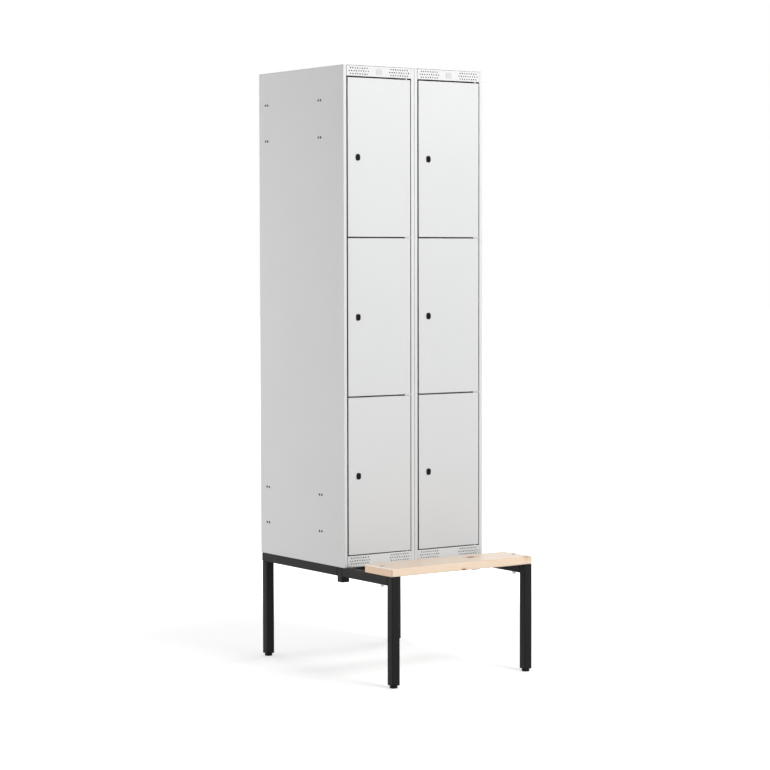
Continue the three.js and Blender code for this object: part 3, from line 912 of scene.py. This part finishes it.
def floor_material():
    """Plain pale floor. The camera sees it brighten to white away from the object."""
    material = bpy.data.materials.new("floor_white")
    material.use_nodes = True
    tree = material.node_tree
    tree.nodes.clear()
    place = object_place(tree)
    away = vector(tree, "LENGTH", place)
    glow = remap(tree, away, FLOOR_GLOW_FROM, FLOOR_GLOW, smooth=True)
    grain = remap(tree, noise(tree, place, scale=90.0, detail=3.0), NOISE_SPAN, FLOOR_TONE)
    plain = add(tree, "ShaderNodeBsdfDiffuse", {"Color": grain}).outputs[0]
    shaded = add(tree, "ShaderNodeBsdfDiffuse", {"Color": FLOOR_SHADED}).outputs[0]
    light = add(tree, "ShaderNodeEmission", {"Color": WHITE, "Strength": glow}).outputs[0]
    bright = add(tree, "ShaderNodeAddShader", {0: shaded, 1: light}).outputs[0]
    mixed = add(tree, "ShaderNodeMixShader", {0: seen_directly(tree), 1: plain, 2: bright})
    add(tree, "ShaderNodeOutputMaterial", {"Surface": mixed.outputs[0]})
    return material


def make_floor():
    mesh = bpy.data.meshes.new("floor")
    corners = [
        (-FLOOR_REACH, -FLOOR_REACH, 0),
        (FLOOR_REACH, -FLOOR_REACH, 0),
        (FLOOR_REACH, FLOOR_REACH, 0),
        (-FLOOR_REACH, FLOOR_REACH, 0),
    ]
    mesh.from_pydata(corners, [], [(0, 1, 2, 3)])
    floor = bpy.data.objects.new("floor", mesh)
    SCENE.collection.objects.link(floor)
    mesh.materials.append(floor_material())


def soft_light(name, place, target, width, height, power):
    data = bpy.data.lights.new(name, "AREA")
    data.shape = "RECTANGLE"
    data.size = width
    data.size_y = height
    data.energy = power
    lamp = bpy.data.objects.new(name, data)
    SCENE.collection.objects.link(lamp)
    lamp.location = place
    lamp.rotation_euler = (Vector(target) - Vector(place)).to_track_quat("-Z", "Y").to_euler()
    lamp.visible_camera = False


studio_world()
make_floor()
for lamp in LAMPS:
    soft_light(*lamp)


# Camera where the photograph was taken from

CAMERA_PLACE = Vector((-4800.2, -6855.3, 1461.2)) * MM
CAMERA_YAW = math.radians(34.792)
CAMERA_PITCH = math.radians(3.142)
CAMERA_ROLL = math.radians(-0.092)
CAMERA_LENS = 109.55
SENSOR_WIDTH = 36.0
NEAREST = 0.1
FARTHEST = 200.0


def make_camera():
    data = bpy.data.cameras.new("camera")
    data.sensor_fit = "HORIZONTAL"
    data.sensor_width = SENSOR_WIDTH
    data.lens = CAMERA_LENS
    data.clip_start = NEAREST
    data.clip_end = FARTHEST
    camera = bpy.data.objects.new("camera", data)
    SCENE.collection.objects.link(camera)
    forward = Vector((
        math.sin(CAMERA_YAW) * math.cos(CAMERA_PITCH),
        math.cos(CAMERA_YAW) * math.cos(CAMERA_PITCH),
        -math.sin(CAMERA_PITCH),
    ))
    level = Vector((math.cos(CAMERA_YAW), -math.sin(CAMERA_YAW), 0.0))
    upward = level.cross(forward)
    right = level * math.cos(CAMERA_ROLL) + upward * math.sin(CAMERA_ROLL)
    up = upward * math.cos(CAMERA_ROLL) - level * math.sin(CAMERA_ROLL)
    camera.matrix_world = Matrix((
        (right.x, up.x, -forward.x, CAMERA_PLACE.x),
        (right.y, up.y, -forward.y, CAMERA_PLACE.y),
        (right.z, up.z, -forward.z, CAMERA_PLACE.z),
        (0.0, 0.0, 0.0, 1.0),
    ))
    SCENE.camera = camera


make_camera()
SCENE.view_settings.view_transform = "Standard"
